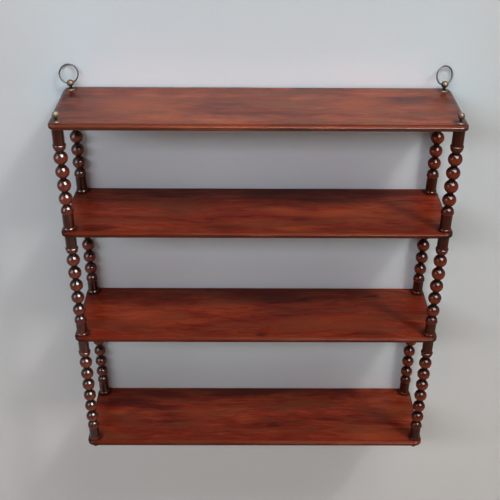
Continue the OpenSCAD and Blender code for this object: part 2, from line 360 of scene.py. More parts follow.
# %% [markdown]
# ## Surfaces from arrays
#
# Every new piece is a stack of closed loops of points, like the hoops of a barrel: rows up the
# piece, columns round it. The whole stack is one numpy array. Neighbouring loops are joined by
# four-sided faces, and the first and last loops are closed with a fan to a point in their middle.
# The same shapes could be lathed or bevelled with modifiers, but an array also knows how far out
# each of its points is, and that says where the finish has worn.

# %% Loops into a mesh
SHARP = math.radians(50)


def loop_faces(rows, columns):
    """Index arrays of the faces: quads between neighbouring loops, and two fans at the ends."""
    here = np.arange(rows * columns).reshape(rows, columns)
    after = np.roll(here, -1, 1)
    quads = np.stack([here[:-1], after[:-1], after[1:], here[1:]], -1).reshape(-1, 4)
    low_fan = np.stack([after[0], here[0], np.full(columns, here.size)], -1)
    high_fan = np.stack([here[-1], after[-1], np.full(columns, here.size + 1)], -1)
    return quads, np.concatenate([low_fan, high_fan])


def build_piece(name, points, faces, material, wear_and_painted_light=None):
    """A mesh object at the origin, from points in millimetres and arrays of faces. The last
    argument is a number from 0 to 1 for each point that sets its colour: low where it is darkened,
    in hollows and as painted shade, and high where it is lightened, by wear and as painted light."""
    mesh = bpy.data.meshes.new(name)
    mesh.from_pydata((points * MM).tolist(), [],
                     [face for part in faces for face in part.tolist()])
    if wear_and_painted_light is not None:
        mesh.attributes.new("wear_and_painted_light", "FLOAT", "POINT").data.foreach_set(
            "value", wear_and_painted_light.astype(np.float32))
    mesh.materials.append(material)
    mesh.shade_smooth()
    mesh.set_sharp_from_angle(angle=SHARP)
    return put_in_scene(name, mesh)


def build_stack(name, loops, material, wear_and_painted_light=None):
    """A piece from a stack of loops, with the middles of its two end loops added last."""
    points = np.concatenate([loops.reshape(-1, 3), loops[:1].mean(1), loops[-1:].mean(1)])
    return build_piece(name, points, loop_faces(*loops.shape[:2]), material, wear_and_painted_light)


print("a stack of 3 loops of 8 points has", len(loop_faces(3, 8)[0]), "quads")

# %% [markdown]
# ## Where each piece goes
#
# A new piece stands exactly where its solid does, so its place is read from the solid's box and
# never typed in. Then the piece takes over: it is shown instead of the solid, and it moves with the
# same body.

# %% Places
CORNERS = "front_left", "front_right", "back_left", "back_right"


def box_of(node):
    """Low and high corners of a node's box, in millimetres."""
    return np.array(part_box(node)) / MM


def corner_axis(node):
    """The line that a turned node stands on, from the middle of its box."""
    low, high = box_of(node)
    return (low + high)[:2] / 2


def stand_for(piece, node, body):
    """The piece takes the node's place: the node is hidden, and the piece moves with the body."""
    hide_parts(node)
    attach(piece, body)


for corner in CORNERS:
    print(corner, "posts stand at", np.round(corner_axis("foot_" + corner), 1))

# %% [markdown]
# ## Mahogany's grain
#
# Mahogany's colour runs in long streaks along the grain, from near black to orange, with a finer
# set inside them, and short dark pores that the polish has mostly filled. A photograph of wood
# would repeat itself from board to board, so each of these is a noise, squeezed across the grain
# and stretched along it. A slow noise bends the grain first, so that the streaks wander.

# %% Grain
# Features a metre along the grain and across it, levels of detail, and the fibres' roughness.
WANDER = 6, 14, 2
GRAIN = {
    "ribbons": (8, 42, 4),
    "fibres": (26, 200, 4, 0.6),
    "clouds": (4, 9, 2),
    "pores": (120, 2400, 1),
    "casts": (7, 60, 2),
}
BEND = 8 * MM
FIGURE = {"ribbons": 0.38, "fibres": 0.31, "clouds": 0.31}
DARK_TO_MIDDLE, MIDDLE_TO_LIGHT = (0.37, 0.5), (0.5, 0.63)
CAST_FROM, CAST_AMOUNT = (0.45, 0.62), 0.55
PORES_FROM, PORE_AMOUNT = (0.6, 0.72), 0.3
TONES = "dark", "middle", "light", "olive", "grime_and_shade", "bare_and_lit"


def wood_tones(*colours):
    """The colours of TONES, picked on screen: three of the wood, its faded streaks, a dark brown
    for dirt and painted shade, and an orange for worn wood and painted light."""
    return {tone: linear(*colour) for tone, colour in zip(TONES, colours)}


def stretched(tree, place, axis, along, across, detail, roughness=0.55):
    """Noise with `along` and `across` features a metre, along an axis and across it."""
    size = [across] * 3
    size[axis] = along
    return add_node(tree, "ShaderNodeTexNoise", {
        "Vector": vector_node(tree, "MULTIPLY", place, size),
        "Scale": 1.0, "Detail": detail, "Roughness": roughness
    }).outputs["Fac"]


def grain(tree, place, axis):
    """The slow noise WANDER, the place as that bends it, and the noises of GRAIN there."""
    wander = stretched(tree, place, axis, *WANDER)
    bent = vector_node(tree, "ADD", place, remap(tree, wander, *NOISE, -BEND, BEND))
    return wander, bent, {name: stretched(tree, bent, axis, *GRAIN[name]) for name in GRAIN}


def streaked_wood(tree, noises, tones):
    """Dark, middle and light wood by the sum of FIGURE, part of it olive, with darker pores."""
    figure = 0.0
    for name, share in FIGURE.items():
        figure = math_node(tree, "MULTIPLY_ADD", noises[name], share, figure)
    wood = blend(tree, remap(tree, figure, *DARK_TO_MIDDLE), tones["dark"], tones["middle"])
    wood = blend(tree, remap(tree, figure, *MIDDLE_TO_LIGHT), wood, tones["light"])
    casts = remap(tree, noises["casts"], *CAST_FROM, 0.0, CAST_AMOUNT)
    wood = blend(tree, casts, wood, tones["olive"])
    pores = remap(tree, noises["pores"], *PORES_FROM, 0.0, PORE_AMOUNT)
    return blend(tree, pores, wood, tones["dark"], "MULTIPLY")


print("a ribbon is about", round(1000 / GRAIN["ribbons"][0]), "mm long and",
      round(1000 / GRAIN["ribbons"][1]), "mm wide")

# %% [markdown]
# ## A board's marks, some of them painted shade
#
# No noise puts a dark patch just where this board has one, and they are what the eye knows it by.
# So each board has a list of a few soft ovals, dark or light, whose edges are made ragged by the
# grain. A few of the dark ones are painted shade, along a board's back and at the top board's ends.
# Another list says what stands on it, because dirt gathers round the foot of every post and knob
# where a duster can't reach.

# %% Marks and dirt
MARK_FADES = 1.3, 0.2
MARK_RAGGED = 0.6
DIRT_FADES = np.array([1, 8]) * MM
DIRT_RAGGED = 3 * MM
DIRT_AMOUNT = 0.8


def ragged_distance(tree, place, shift, x, y, half, noise, ragged):
    """Distance in the board's plane from x, y in millimetres, in half-lengths and half-widths of
    half metres, where a noise adds up to `ragged` either way."""
    away = vector_node(tree, "SUBTRACT", place, (x * MM + shift[0], y * MM + shift[1], 0))
    away = vector_node(tree, "MULTIPLY", away, (1 / half[0], 1 / half[1], 0))
    return math_node(tree, "ADD", remap(tree, noise, *NOISE, -ragged, ragged),
                     vector_node(tree, "LENGTH", away))


def marked(tree, wood, bent, noises, tones, shift, marks):
    """The wood with its marks: x, y, half-length and half-width in millimetres, and a strength,
    under 0 for a light one."""
    for x, y, half_length, half_width, strength in marks:
        half = half_length * MM, half_width * MM
        away = ragged_distance(tree, bent, shift, x, y, half, noises["ribbons"], MARK_RAGGED)
        wood = blend(tree, remap(tree, away, *MARK_FADES, 0.0, abs(strength)), wood,
                     tones["dark" if strength > 0 else "light"])
    return wood


def dirty_round(tree, wood, place, wander, tones, shift, stands):
    """The wood with dirt round what stands on it: x, y and radius in millimetres."""
    for x, y, radius in stands:
        away = ragged_distance(tree, place, shift, x, y, (1, 1), wander, DIRT_RAGGED)
        near, far = radius * MM + DIRT_FADES
        wood = blend(tree, remap(tree, away, near, far, DIRT_AMOUNT, 0.0), wood, tones["grime_and_shade"])
    return wood


print("dirt fades out over", np.round(DIRT_FADES / MM), "mm round a post")

# %% [markdown]
# ## Mahogany, polished and worn
#
# French polish is a thin clear coat over the wood, never quite even, so it is the shader's coat and
# the wood under it is matt. Age and painted light show in one number that every point carries.
# Where it is low the wood is darker and the coat dull: in the hollows, and as painted shade on the
# boards' front faces and ends. Where it is high the coat is worn away to lighter wood, which on the
# posts' crowns is also a painted warm light. Fine rings from the lathe run round the posts, and
# pores along the boards.

# %% Mahogany material
X_AXIS, Z_AXIS = 0, 2
GRIME_AND_SHADE_AMOUNT, BARE_AND_LIT_AMOUNT = 0.85, 0.8
CLEAN, BARE_AND_LIT_POST, BARE_AND_LIT_BOARD = 0.5, 1.0, 0.6
DULL_COAT, DULL_UNTIL = 0.3, 0.2
COAT_WEARS = 0.51, 0.58
LATHE_MARKS = 900, 25, 2
PORE_DIP = 0.25


def mahogany(name, axis, shift, tones, polish, blur, edge_polish=1.0, marks=(), stands=()):
    """Polished mahogany with its grain along an axis. shift moves the pattern, in metres. polish is
    the coat's weight, edge_polish the share of it left on the worn edges, and blur its roughness.
    marks are soft places in a board's figure, some of them painted shade, and stands are what dirt
    has gathered round."""
    material, tree = new_material(name)
    place = add_node(tree, "ShaderNodeMapping", {
        "Vector": add_node(tree, "ShaderNodeTexCoord").outputs["Object"], "Location": shift
    }).outputs[0]
    wander, bent, noises = grain(tree, place, axis)
    wood = streaked_wood(tree, noises, tones)
    wood = marked(tree, wood, bent, noises, tones, shift, marks)
    wood = dirty_round(tree, wood, place, wander, tones, shift, stands)
    # Where the colour number is low the wood darkens: in hollows, and as painted shade on board
    # faces.
    wear_and_painted_light = add_node(tree, "ShaderNodeAttribute", attribute_name="wear_and_painted_light").outputs["Fac"]
    wood = blend(tree, remap(tree, wear_and_painted_light, 0.0, CLEAN, GRIME_AND_SHADE_AMOUNT, 0.0), wood, tones["grime_and_shade"])
    if axis == Z_AXIS:
        bare_at, height = BARE_AND_LIT_POST, stretched(tree, place, axis, *LATHE_MARKS)
        bump = {"Height": height, "Strength": 0.3, "Distance": 0.8 * MM}
    else:
        bare_at = BARE_AND_LIT_BOARD
        height = math_node(tree, "MULTIPLY_ADD", noises["pores"], -PORE_DIP, wander)
        bump = {"Height": height, "Strength": 0.12, "Distance": 2 * MM}
    # Where it is high the wood lightens: worn wood, and painted light on post crowns and board
    # arrises.
    wood = blend(tree, remap(tree, wear_and_painted_light, CLEAN, bare_at, 0.0, BARE_AND_LIT_AMOUNT), wood, tones["bare_and_lit"])
    coat = math_node(tree, "MULTIPLY",
                     remap(tree, wear_and_painted_light, 0.0, DULL_UNTIL, DULL_COAT * polish, polish),
                     remap(tree, wear_and_painted_light, *COAT_WEARS, 1.0, edge_polish))
    add_shader(tree, {
        "Base Color": wood,
        "Roughness": remap(tree, noises["clouds"], 0.35, 0.65, 0.32, 0.46),
        "Specular IOR Level": 0.0,
        "Coat Weight": coat,
        "Coat Roughness": blur,
        "Coat IOR": 1.5,
        "Normal": add_node(tree, "ShaderNodeBump", bump).outputs[0],
    })
    return material


BOARD_TONES = wood_tones((76, 22, 17), (122, 40, 23), (156, 68, 38),
                         (104, 56, 34), (26, 10, 8), (104, 40, 22))
FADED_TONES = wood_tones((74, 26, 18), (122, 48, 26), (164, 78, 40),
                         (108, 66, 40), (26, 12, 9), (104, 42, 24))
# The posts' light orange is worn wood, and also a painted warm light on the beads' crowns.
POST_TONES = wood_tones((44, 14, 8), (82, 26, 11), (112, 42, 18),
                        (62, 30, 14), (18, 7, 5), (194, 74, 30))
turned_wood = {
    "left": mahogany("turned_mahogany", Z_AXIS, (0.4, 0.1, 0.0), POST_TONES, 0.85, 0.17),
    "right": mahogany("worn_turned_mahogany", Z_AXIS, (0.1, 0.4, 0.0), POST_TONES, 0.36, 0.18),
}
for side, material in turned_wood.items():
    print(side, "posts:", material.name, "with", len(material.node_tree.nodes), "nodes")

# %% [markdown]
# ## The outline of a board
#
# Each shelf is a thin board with rounded corners. Seen from above it is a rectangle pushed out by
# the corner's radius, which gives the quarter circles for nothing. The same function with a smaller
# push gives every loop on the way over its edge. No old board is quite true either, so a sum of a
# few slow sines is kept ready, to make its edge and its face wave by a tenth of a millimetre.

# %% Board outline
CORNER_R = 13.0
ALONG, ACROSS, QUARTER = 64, 16, 9


def outline(half_w, half_d, reach):
    """Points round a rounded rectangle, and the outward direction at each: sides of the core
    rectangle, pushed out by reach, joined by quarter circles of radius reach."""
    core_w, core_d = half_w - CORNER_R, half_d - CORNER_R
    angle, core = [], []
    for start, x, y, (dx, dy), steps in (
        (-90, -core_w, -core_d, (1, 0), ALONG), (0, core_w, -core_d, (0, 1), ACROSS),
        (90, core_w, core_d, (-1, 0), ALONG), (180, -core_w, core_d, (0, -1), ACROSS),
    ):
        t = np.linspace(0, 1, steps)
        core.append(np.column_stack([x + dx * 2 * core_w * t, y + dy * 2 * core_d * t]))
        angle.append(np.full(steps, start))
        turn = np.linspace(0, 90, QUARTER)[1:-1]
        core.append(np.repeat(core[-1][-1:], len(turn), 0))
        angle.append(start + turn)
    angle = np.radians(np.concatenate(angle))
    away = np.column_stack([np.cos(angle), np.sin(angle)])
    return np.concatenate(core) + reach * away, away


def ripple(x, y, seed, size):
    """A slow wave over the plane, between about -1 and 1: four sines of different directions."""
    draw = np.random.default_rng(seed)
    turn, phase = draw.uniform(0, np.pi, 4), draw.uniform(0, 2 * np.pi, 4)
    length = size * draw.uniform(0.6, 1.6, 4)
    wave = (x[..., None] * np.cos(turn) + y[..., None] * np.sin(turn)) * 2 * np.pi / length
    return np.sin(wave + phase).mean(-1)


print("points round a board:", len(outline(300, 70, CORNER_R)[0]))

# %% [markdown]
# ## The edge of a board
#
# A box with a bevel would do for the edge of a new board. An edge dusted for a century slopes off
# over several millimetres, and has lost its polish there, so only the last sharp round below the
# slope still catches the light, in a thin line. The back edge was never dusted, and is sharper.
# Each step over the edge is how far in it lies, how high, and a number for its colour. The
# front face below the line is darkened as painted shade, and the underside a little. The line's
# wood is lightened, partly wear and partly a painted highlight beside its real one. The slope
# darkens towards the ends: painted shade, with some dirt.

# %% Board edge
UNDER_ROUND = 1.4
ARRIS_ROUND = 0.9
SLOPE = np.array([5.7, 3.2])
BACK_SLOPE = np.array([1.6, 0.9])
STEEPEN = 1.6
KEPT_FROM, KEPT_BY = 32.0, 16.0
# Rim colours: front face darkened as painted shade, arris line lightened as wear and painted
# highlight.
UNDER_DARKENED, SIDE_SHADED, LINE_WORN_AND_LIT, TOP_RUB, SLOPE_RUB = 0.3, 0.18, 0.54, 0.5, 0.08
LINE_FROM = 0.2, 0.5
# The slope darkens towards a board's ends: painted shade, with some dirt.
KEPT_LESS, END_DIRT_AND_SHADE = 0.04, 0.3


def edge_steps(half_w, half_d, thick):
    """The steps of the rim, from the underside to the top: a small round, the arris's round, and
    the slope, which is down * (s / reach)**STEEPEN at a distance s, where reach and down are SLOPE
    at the front and ends and BACK_SLOPE at the back. The coat is kept best near the ends."""
    around, away = outline(half_w, half_d, CORNER_R)
    slope = SLOPE + (BACK_SLOPE - SLOPE) * np.clip(away[:, 1:], 0, 1)
    steepest = np.arctan(STEEPEN * slope[0, 1] / slope[0, 0])
    kept = np.clip(np.abs(around[:, 0]) - half_w + KEPT_FROM, 0, KEPT_BY) / KEPT_BY
    rim = [(UNDER_ROUND * (np.sin(t) - 1), UNDER_ROUND * (1 - np.cos(t)), SIDE_SHADED)
           for t in np.radians(np.linspace(0, 90, 8))]
    crown = ARRIS_ROUND * np.array([np.sin(steepest) - 1, np.cos(steepest)])
    rim += [
        (ARRIS_ROUND * (np.cos(t) - 1), thick - slope[:, 1] - crown[1] + ARRIS_ROUND * np.sin(t),
         np.interp(t, LINE_FROM, [SIDE_SHADED, LINE_WORN_AND_LIT]) - KEPT_LESS * kept)
        for t in np.linspace(0, np.pi / 2 - steepest, 6)
    ]
    rim += [
        (crown[0] + slope[:, 0] * (s - 1), thick - slope[:, 1] * s**STEEPEN,
         TOP_RUB + min(s, SLOPE_RUB) - END_DIRT_AND_SHADE * min(s, 0.5) / 0.5 * away[:, 0] ** 2)
        for s in (0.97, 0.9, 0.8, 0.65, 0.5, 0.35, 0.2, 0.1, 0.0)
    ]
    return rim


print("steps over the edge:", len(edge_steps(313, 76, 9)))

# %% [markdown]
# ## A whole board
#
# The board is one stack of loops: out across the underside, over the edge, and back in across the
# top. A polished top shows the least wave, so its loops lift and dip a little, and the underside's
# stay flat.

# %% Board surface
EDGE_WAVE, EDGE_WAVE_SIZE = 0.12, 45
FACE_WAVE, FACE_WAVE_SIZE = 0.1, 150


def board(node, seed, material):
    """A board in the node's place. Loops inside the rim are the rim's own, shrunk by a share."""
    low, high = box_of(node)
    middle, half = (low + high) / 2, (high - low) / 2
    thick = high[2] - low[2]
    _, away = outline(half[0], half[1], CORNER_R)
    rim = edge_steps(half[0], half[1], thick)
    shares = np.linspace(0.04, 1, 22)[:-1]
    steps = [(share, *rim[0][:2], UNDER_DARKENED) for share in shares]
    steps += [(1.0, *step) for step in rim]
    steps += [(share, *rim[-1][:2], TOP_RUB) for share in shares[::-1]]
    loops = []
    for share, inward, height, _ in steps:
        reach = np.broadcast_to(CORNER_R + inward, len(away))[:, None]
        xy, _ = outline(half[0], half[1], reach)
        wave = ripple(xy[:, 0], xy[:, 1], seed, EDGE_WAVE_SIZE) - 1
        xy = share * (xy + (EDGE_WAVE * wave * (share == 1.0))[:, None] * away)
        loops.append(np.column_stack([xy, np.broadcast_to(height, len(xy))]))
    wear_and_painted_light = [np.broadcast_to(rub, len(away)) for *_, rub in steps] + [[UNDER_DARKENED, TOP_RUB]]
    loops = np.array(loops)
    topmost = (loops[..., 2] / thick) ** 4
    wave = 1 + ripple(loops[..., 0], loops[..., 1], seed + 1, FACE_WAVE_SIZE)
    loops[..., 2] -= FACE_WAVE * topmost * wave
    loops += [middle[0], middle[1], low[2]]
    piece = build_stack("polished_" + node, loops, material, np.concatenate(wear_and_painted_light))
    stand_for(piece, node, "shelf")
    return piece


low, high = box_of("top_shelf")
print("each board is", np.round(high - low, 1), "mm")

# %% [markdown]
# ## The four boards
#
# The boards are one shape and four finishes. The top one stands in the light and has faded, and it
# still has most of its polish. The other three were handled more, and each has a dark band along
# the back: dirt where it was never wiped, and a painted shadow of the board above. The posts stand
# on the lower boards, and the smaller brass knobs and eyes on the top one.

# %% Boards
POST_STAND_R, BRASS_STAND_R = 10.0, 5.0
BOARD_BLUR, WORN_POLISH = 0.2, 0.04
# Each lower board's first, long mark is its back band: dirt and a painted shadow of the board
# above. The top board's first two marks darken its ends: painted shade, with some dirt.
BOARDS = {
    "top_shelf": (0.7, [
        (-304, -80, 22, 95, 0.7), (308, -85, 18, 95, 0.6), (-20, -105, 38, 10, 0.5),
        (233, -50, 30, 16, 0.6), (-190, -76, 60, 40, -0.5), (150, -72, 45, 32, -0.5)
    ]),
    "upper_shelf": (0.3, [
        (0, -8, 340, 27, 0.9),
        (-254, -140, 25, 14, 0.6), (-54, -129, 28, 13, 0.5), (139, -138, 45, 14, 0.5),
        (41, -80, 40, 11, -0.6), (134, -86, 40, 13, -0.6), (237, -27, 50, 26, 0.5)
    ]),
    "lower_shelf": (0.3, [
        (0, -8, 340, 22, 0.65),
        (11, -140, 12, 10, 0.9), (92, -36, 13, 5, 0.8), (212, -32, 14, 6, 0.9),
        (178, -108, 18, 8, 0.3), (-197, -92, 50, 22, -0.4), (130, -114, 100, 20, -0.3)
    ]),
    "bottom_shelf": (0.32, [
        (-60, -8, 260, 20, 0.6),
        (-265, -43, 95, 17, 0.9), (-175, -60, 26, 8, 0.8), (-105, -88, 50, 34, -0.35),
        (135, -96, 32, 5, 0.8), (221, -130, 55, 14, -0.6), (-271, -78, 22, 9, -0.6)
    ]),
}
for number, (node, (polish, marks)) in enumerate(BOARDS.items()):
    is_top = node == "top_shelf"
    radius = BRASS_STAND_R if is_top else POST_STAND_R
    stands = [(*corner_axis("foot_" + corner), radius) for corner in CORNERS]
    wood = mahogany("mahogany_" + node, X_AXIS, (0.37 * number, 0.61 * number, 0.23),
                    FADED_TONES if is_top else BOARD_TONES,
                    polish, BOARD_BLUR, WORN_POLISH, marks, stands)
    piece = board(node, number, wood)
    print(piece.name, len(piece.data.polygons), "faces")

# %% [markdown]
# ## Turning on a lathe
#
# A lathe only ever changes the radius, so a turned piece is one curve, the radius at each height. A
# Screw modifier could carry the drawn curve round. Here every part of the pattern is a formula for
# a radius, and the piece's is the largest of them, with the corners between them slightly filled,
# as polish fills them.

# %% Turned profile
TURNED_COLUMNS = 56


def ball(z, centre, diameter):
    """Radius of a ball: half a chord of the circle."""
    return np.sqrt(np.clip(diameter**2 / 4 - (z - centre) ** 2, 0, None))


def drum(z, low, high, diameter):
    """Radius of a plain cylinder from low to high, and nothing elsewhere."""
    return np.where((z >= low) & (z <= high), diameter / 2, 0)


def ring_moulding(z, low, height, diameter):
    """Radius of a ring with a rounded rim: a drum capped by an arc of 0.6 of its height."""
    rim = 0.6 * height
    arc = diameter / 2 - rim + np.sqrt(np.clip(rim**2 - (z - low - height / 2) ** 2, 0, None))
    return np.where((z >= low) & (z <= low + height), arc, 0)


def softest(parts, fill=0.12):
    """The largest of the radii, with each inner corner filled: fill * log(sum(exp(r / fill)))."""
    parts = np.array(parts)
    top = parts.max(0)
    return top + fill * np.log(np.exp((parts - top) / fill).sum(0))


def turn_on_lathe(prefix, node, heights, radii, material, wear_and_painted_light=None, oval=0.0):
    """A turned piece on the node's axis: the curve carried round in a circle, or in an oval, where
    the radius is r * (1 + oval * cos(2 * angle)). Its colour number goes by its radius, where
    nothing else is said."""
    x, y = corner_axis(node)
    angle = np.linspace(0, 2 * np.pi, TURNED_COLUMNS, endpoint=False)
    radius = radii[:, None] * (1 + oval * np.cos(2 * angle))
    loops = np.stack([
        x + radius * np.cos(angle), y + radius * np.sin(angle),
        np.broadcast_to(heights[:, None], radius.shape)
    ], -1)
    if wear_and_painted_light is None:
        wear_and_painted_light = (radii - radii.min()) / np.ptp(radii)
    return build_stack(prefix + node, loops, material,
                       np.append(np.repeat(wear_and_painted_light, TURNED_COLUMNS), [wear_and_painted_light[0], wear_and_painted_light[-1]]))


print("a 22 mm ball is", round(2 * float(ball(5.0, 0.0, 22.0)), 1), "mm wide 5 mm off its middle")

# %% [markdown]
# ## The pattern of a post
#
# A bobbin post is turned from one square: a plain foot with a ring at its base, a ring and half a
# ball, a run of beads, half a ball and a ring, and a plain collar. No two beads cut by eye are
# alike, so they differ by a few tenths of a millimetre. Their colour is lightest where they stick
# out furthest, partly wear and partly a painted warm light, and darkest in the necks and on the
# plain collars.

# %% Post pattern
BEAD_D, NECK_D, SHAFT_D = 22.0, 9.6, 18.0
BASE_RING = 4.5, 20.6
BEAD_RING = 3.6, 20.8
DOME_D = 20.0
LOWER_NECK = 2.5
SINK = 0.4
STRAY, FATTER, FATTEST = 0.25, 0.12, 0.3
# Post colour: collars darker, and beads lighter the further out, partly wear, partly painted light.
COLLAR_DARKENED, BEAD_WEAR_AND_LIGHT, RUB_CURVE = 0.2, 0.62, 1.2
COLLAR_WITHIN = 0.25


def half_chord(diameter, at):
    """Half the height of a ball between the two places where it is `at` across."""
    return math.sqrt(diameter**2 - at**2) / 2


def post_profile(clear, plain, pitch, beads, upper_neck, draw):
    """Heights and radii of a post that fills a clear height, from the board below it."""
    bead_half, dome_h = half_chord(BEAD_D, NECK_D), half_chord(DOME_D, NECK_D)
    lower_dome = plain + BEAD_RING[0]
    first = lower_dome + dome_h + LOWER_NECK + bead_half
    upper_dome = first + (beads - 1) * pitch + bead_half + upper_neck + dome_h
    z = np.arange(-SINK, clear + SINK, 0.5)
    parts = [
        ring_moulding(z, -BASE_RING[0] * 0.05, BASE_RING[0] * 1.05, BASE_RING[1]),
        drum(z, -SINK, plain, SHAFT_D),
        ring_moulding(z, plain, *BEAD_RING),
        np.where(z > plain, ball(z, lower_dome, DOME_D), 0),
        drum(z, 0, upper_dome, NECK_D),
        np.where(z < upper_dome + BEAD_RING[0], ball(z, upper_dome, DOME_D), 0),
        ring_moulding(z, upper_dome, *BEAD_RING),
        drum(z, upper_dome + BEAD_RING[0] / 2, clear + SINK, SHAFT_D),
    ]
    for number in range(beads):
        stray, fat = draw.normal(0, STRAY), draw.normal(0, FATTER)
        parts.append(ball(z, first + number * pitch + stray,
                          BEAD_D + np.clip(fat, -FATTEST, FATTEST)))
    return z, softest(parts)


def post_wear_and_light(radii):
    """A colour number for each height of a post: higher the further out, which lightens the crowns,
    partly wear and partly a painted warm light, and low on the plain collars, which darkens them."""
    out = (radii - radii.min()) / np.ptp(radii)
    collar = np.abs(radii - SHAFT_D / 2) < COLLAR_WITHIN
    return np.where(collar, COLLAR_DARKENED, BEAD_WEAR_AND_LIGHT * out**RUB_CURVE)


print("a bead is cut", round(2 * half_chord(BEAD_D, NECK_D), 1), "mm tall between its necks")

# %% [markdown]
# ## One post for each corner of each tier
#
# The three tiers use one pattern at three lengths: six beads at the bottom, five in the middle and
# four at the top. The board above and the board below say where a post starts and stops, so the
# posts follow the solids if those change. Old wood has shrunk more across its grain than along its
# rings, which makes every post a faint oval.

# %% Posts
OVAL = 0.004
TIERS = {
    "top": ("upper_shelf", "top_shelf", 30.0, 23.5, 4, 1.0),
    "middle": ("lower_shelf", "upper_shelf", 26.0, 25.0, 5, 2.6),
    "bottom": ("bottom_shelf", "lower_shelf", 29.0, 25.4, 6, 4.0),
}

draw = np.random.default_rng(7)
for tier, (below, above, plain, pitch, beads, upper_neck) in TIERS.items():
    floor = box_of(below)[1, 2]
    clear = box_of(above)[0, 2] - floor
    for corner in CORNERS:
        node = f"post_{tier}_{corner}"
        z, radii = post_profile(clear, plain, pitch, beads, upper_neck, draw)
        piece = turn_on_lathe("turned_", node, floor + z, radii,
                              turned_wood[node.split("_")[-1]], post_wear_and_light(radii), OVAL)
        stand_for(piece, node, "shelf")
    print(tier, "tier:", beads, "beads in", round(clear, 1), "mm, up to",
          round(2 * radii.max(), 2), "mm wide")

# %% [markdown]
# ## The feet
#
# Under the bottom board each corner has a little turned foot: a collar against the board, a thin
# neck and a ball with a flat to stand on. They come off the same lathe as the posts.

# %% Feet
FOOT_COLLAR = 2.4, 13.0
FOOT_NECK_D, FOOT_BALL_D, FOOT_SOLE_D = 6.6, 10.4, 6.0
FOOT_FILL = 0.08

under_board = box_of("bottom_shelf")[0, 2]
for corner in CORNERS:
    node = "foot_" + corner
    sole = box_of(node)[0, 2]
    height = under_board - sole
    z = np.linspace(0, height + SINK, 60)
    radii = softest([
        ball(z, half_chord(FOOT_BALL_D, FOOT_SOLE_D), FOOT_BALL_D),
        drum(z, height / 2, height + SINK, FOOT_NECK_D),
        ring_moulding(z, height - FOOT_COLLAR[0], FOOT_COLLAR[0] + SINK, FOOT_COLLAR[1]),
    ], FOOT_FILL)
    piece = turn_on_lathe("turned_", node, sole + z, radii, turned_wood[node.split("_")[-1]])
    stand_for(piece, node, "shelf")
print("feet:", round(height, 1), "mm tall")

# %% [markdown]
# ## Old brass
#
# Cast brass that is dusted but never stripped keeps its gold on the crowns and turns brown in the
# hollows. The colour goes from one to the other by how exposed each point is, and a fine noise
# breaks the edge between them. Tarnish isn't metal, so the surface is only half metallic. No two
# pieces have aged alike, and the rings are wire and handled less, so they are the darkest.

# %% Brass material
def old_brass(name, bright, brown, rub_low, rub_high):
    """Brass, bright where the attribute rubbed is over rub_high and brown under rub_low."""
    material, tree = new_material(name)
    place = add_node(tree, "ShaderNodeTexCoord").outputs["Object"]
    spots = add_node(tree, "ShaderNodeTexNoise", {
        "Vector": place, "Scale": 420.0, "Detail": 4.0, "Roughness": 0.6
    }).outputs["Fac"]
    wear_and_painted_light = add_node(tree, "ShaderNodeAttribute", attribute_name="wear_and_painted_light").outputs["Fac"]
    uneven = math_node(tree, "ADD", remap(tree, spots, *NOISE, -0.2, 0.2), wear_and_painted_light)
    bump = add_node(tree, "ShaderNodeBump", {
        "Height": spots, "Strength": 0.15, "Distance": 0.5 * MM
    })
    add_shader(tree, {
        "Base Color": blend(tree, remap(tree, uneven, rub_low, rub_high), brown, bright),
        "Metallic": 0.5,
        "Roughness": remap(tree, spots, *NOISE, 0.5, 0.68),
        "Specular IOR Level": 0.2,
        "Coat Weight": 0.08,
        "Coat Roughness": 0.25,
        "Normal": bump.outputs[0],
    })
    return material


# The eyes' brown is near black, as it is also the painted shade under their heads.
cast_brass = {
    "left": old_brass("olive_brass", linear(86, 80, 64), linear(36, 28, 19), 0.25, 0.95),
    "right": old_brass("brown_brass", linear(72, 56, 48), linear(32, 22, 18), 0.25, 0.95),
    "eye": old_brass("gold_brass", linear(78, 63, 48), linear(14, 10, 7), 0.1, 0.6),
}
wire_brass = old_brass("wire_brass", linear(54, 54, 56), linear(30, 28, 28), 0.2, 0.8)
print("brass:", ", ".join(material.name for material in (*cast_brass.values(), wire_brass)))

# %% [markdown]
# ## The finials
#
# Each front corner is finished with a small brass knob: a domed base, a neck and a pear-shaped
# head. It is turned like the posts, but the curve closes at the top, so its heights crowd together
# there, where the radius changes fastest.

# %% Finials
BASE_D, BASE_H = 11.4, 2.4
FINIAL_NECK_D, HEAD_D, HEAD_Z, TAPER = 4.2, 10.4, 10.8, math.radians(35)
TIP_R = 0.02
BRASS_FILL, BRASS_SINK = 0.06, 0.2
RUBS_OVER = 3.0
BASE_RUB = 0.6


def dome(z, diameter, height):
    """Radius of a shallow cap that is `diameter` across at z = 0 and closes at z = height."""
    sphere = (diameter**2 / 4 + height**2) / (2 * height)
    return np.where(z <= height, ball(np.clip(z, 0, None), height - sphere, 2 * sphere), 0)


def eased(low, high, count):
    """Heights from low to high, closer together towards both ends: a cosine's."""
    return low + (high - low) * (1 - np.cos(np.linspace(0, np.pi, count))) / 2


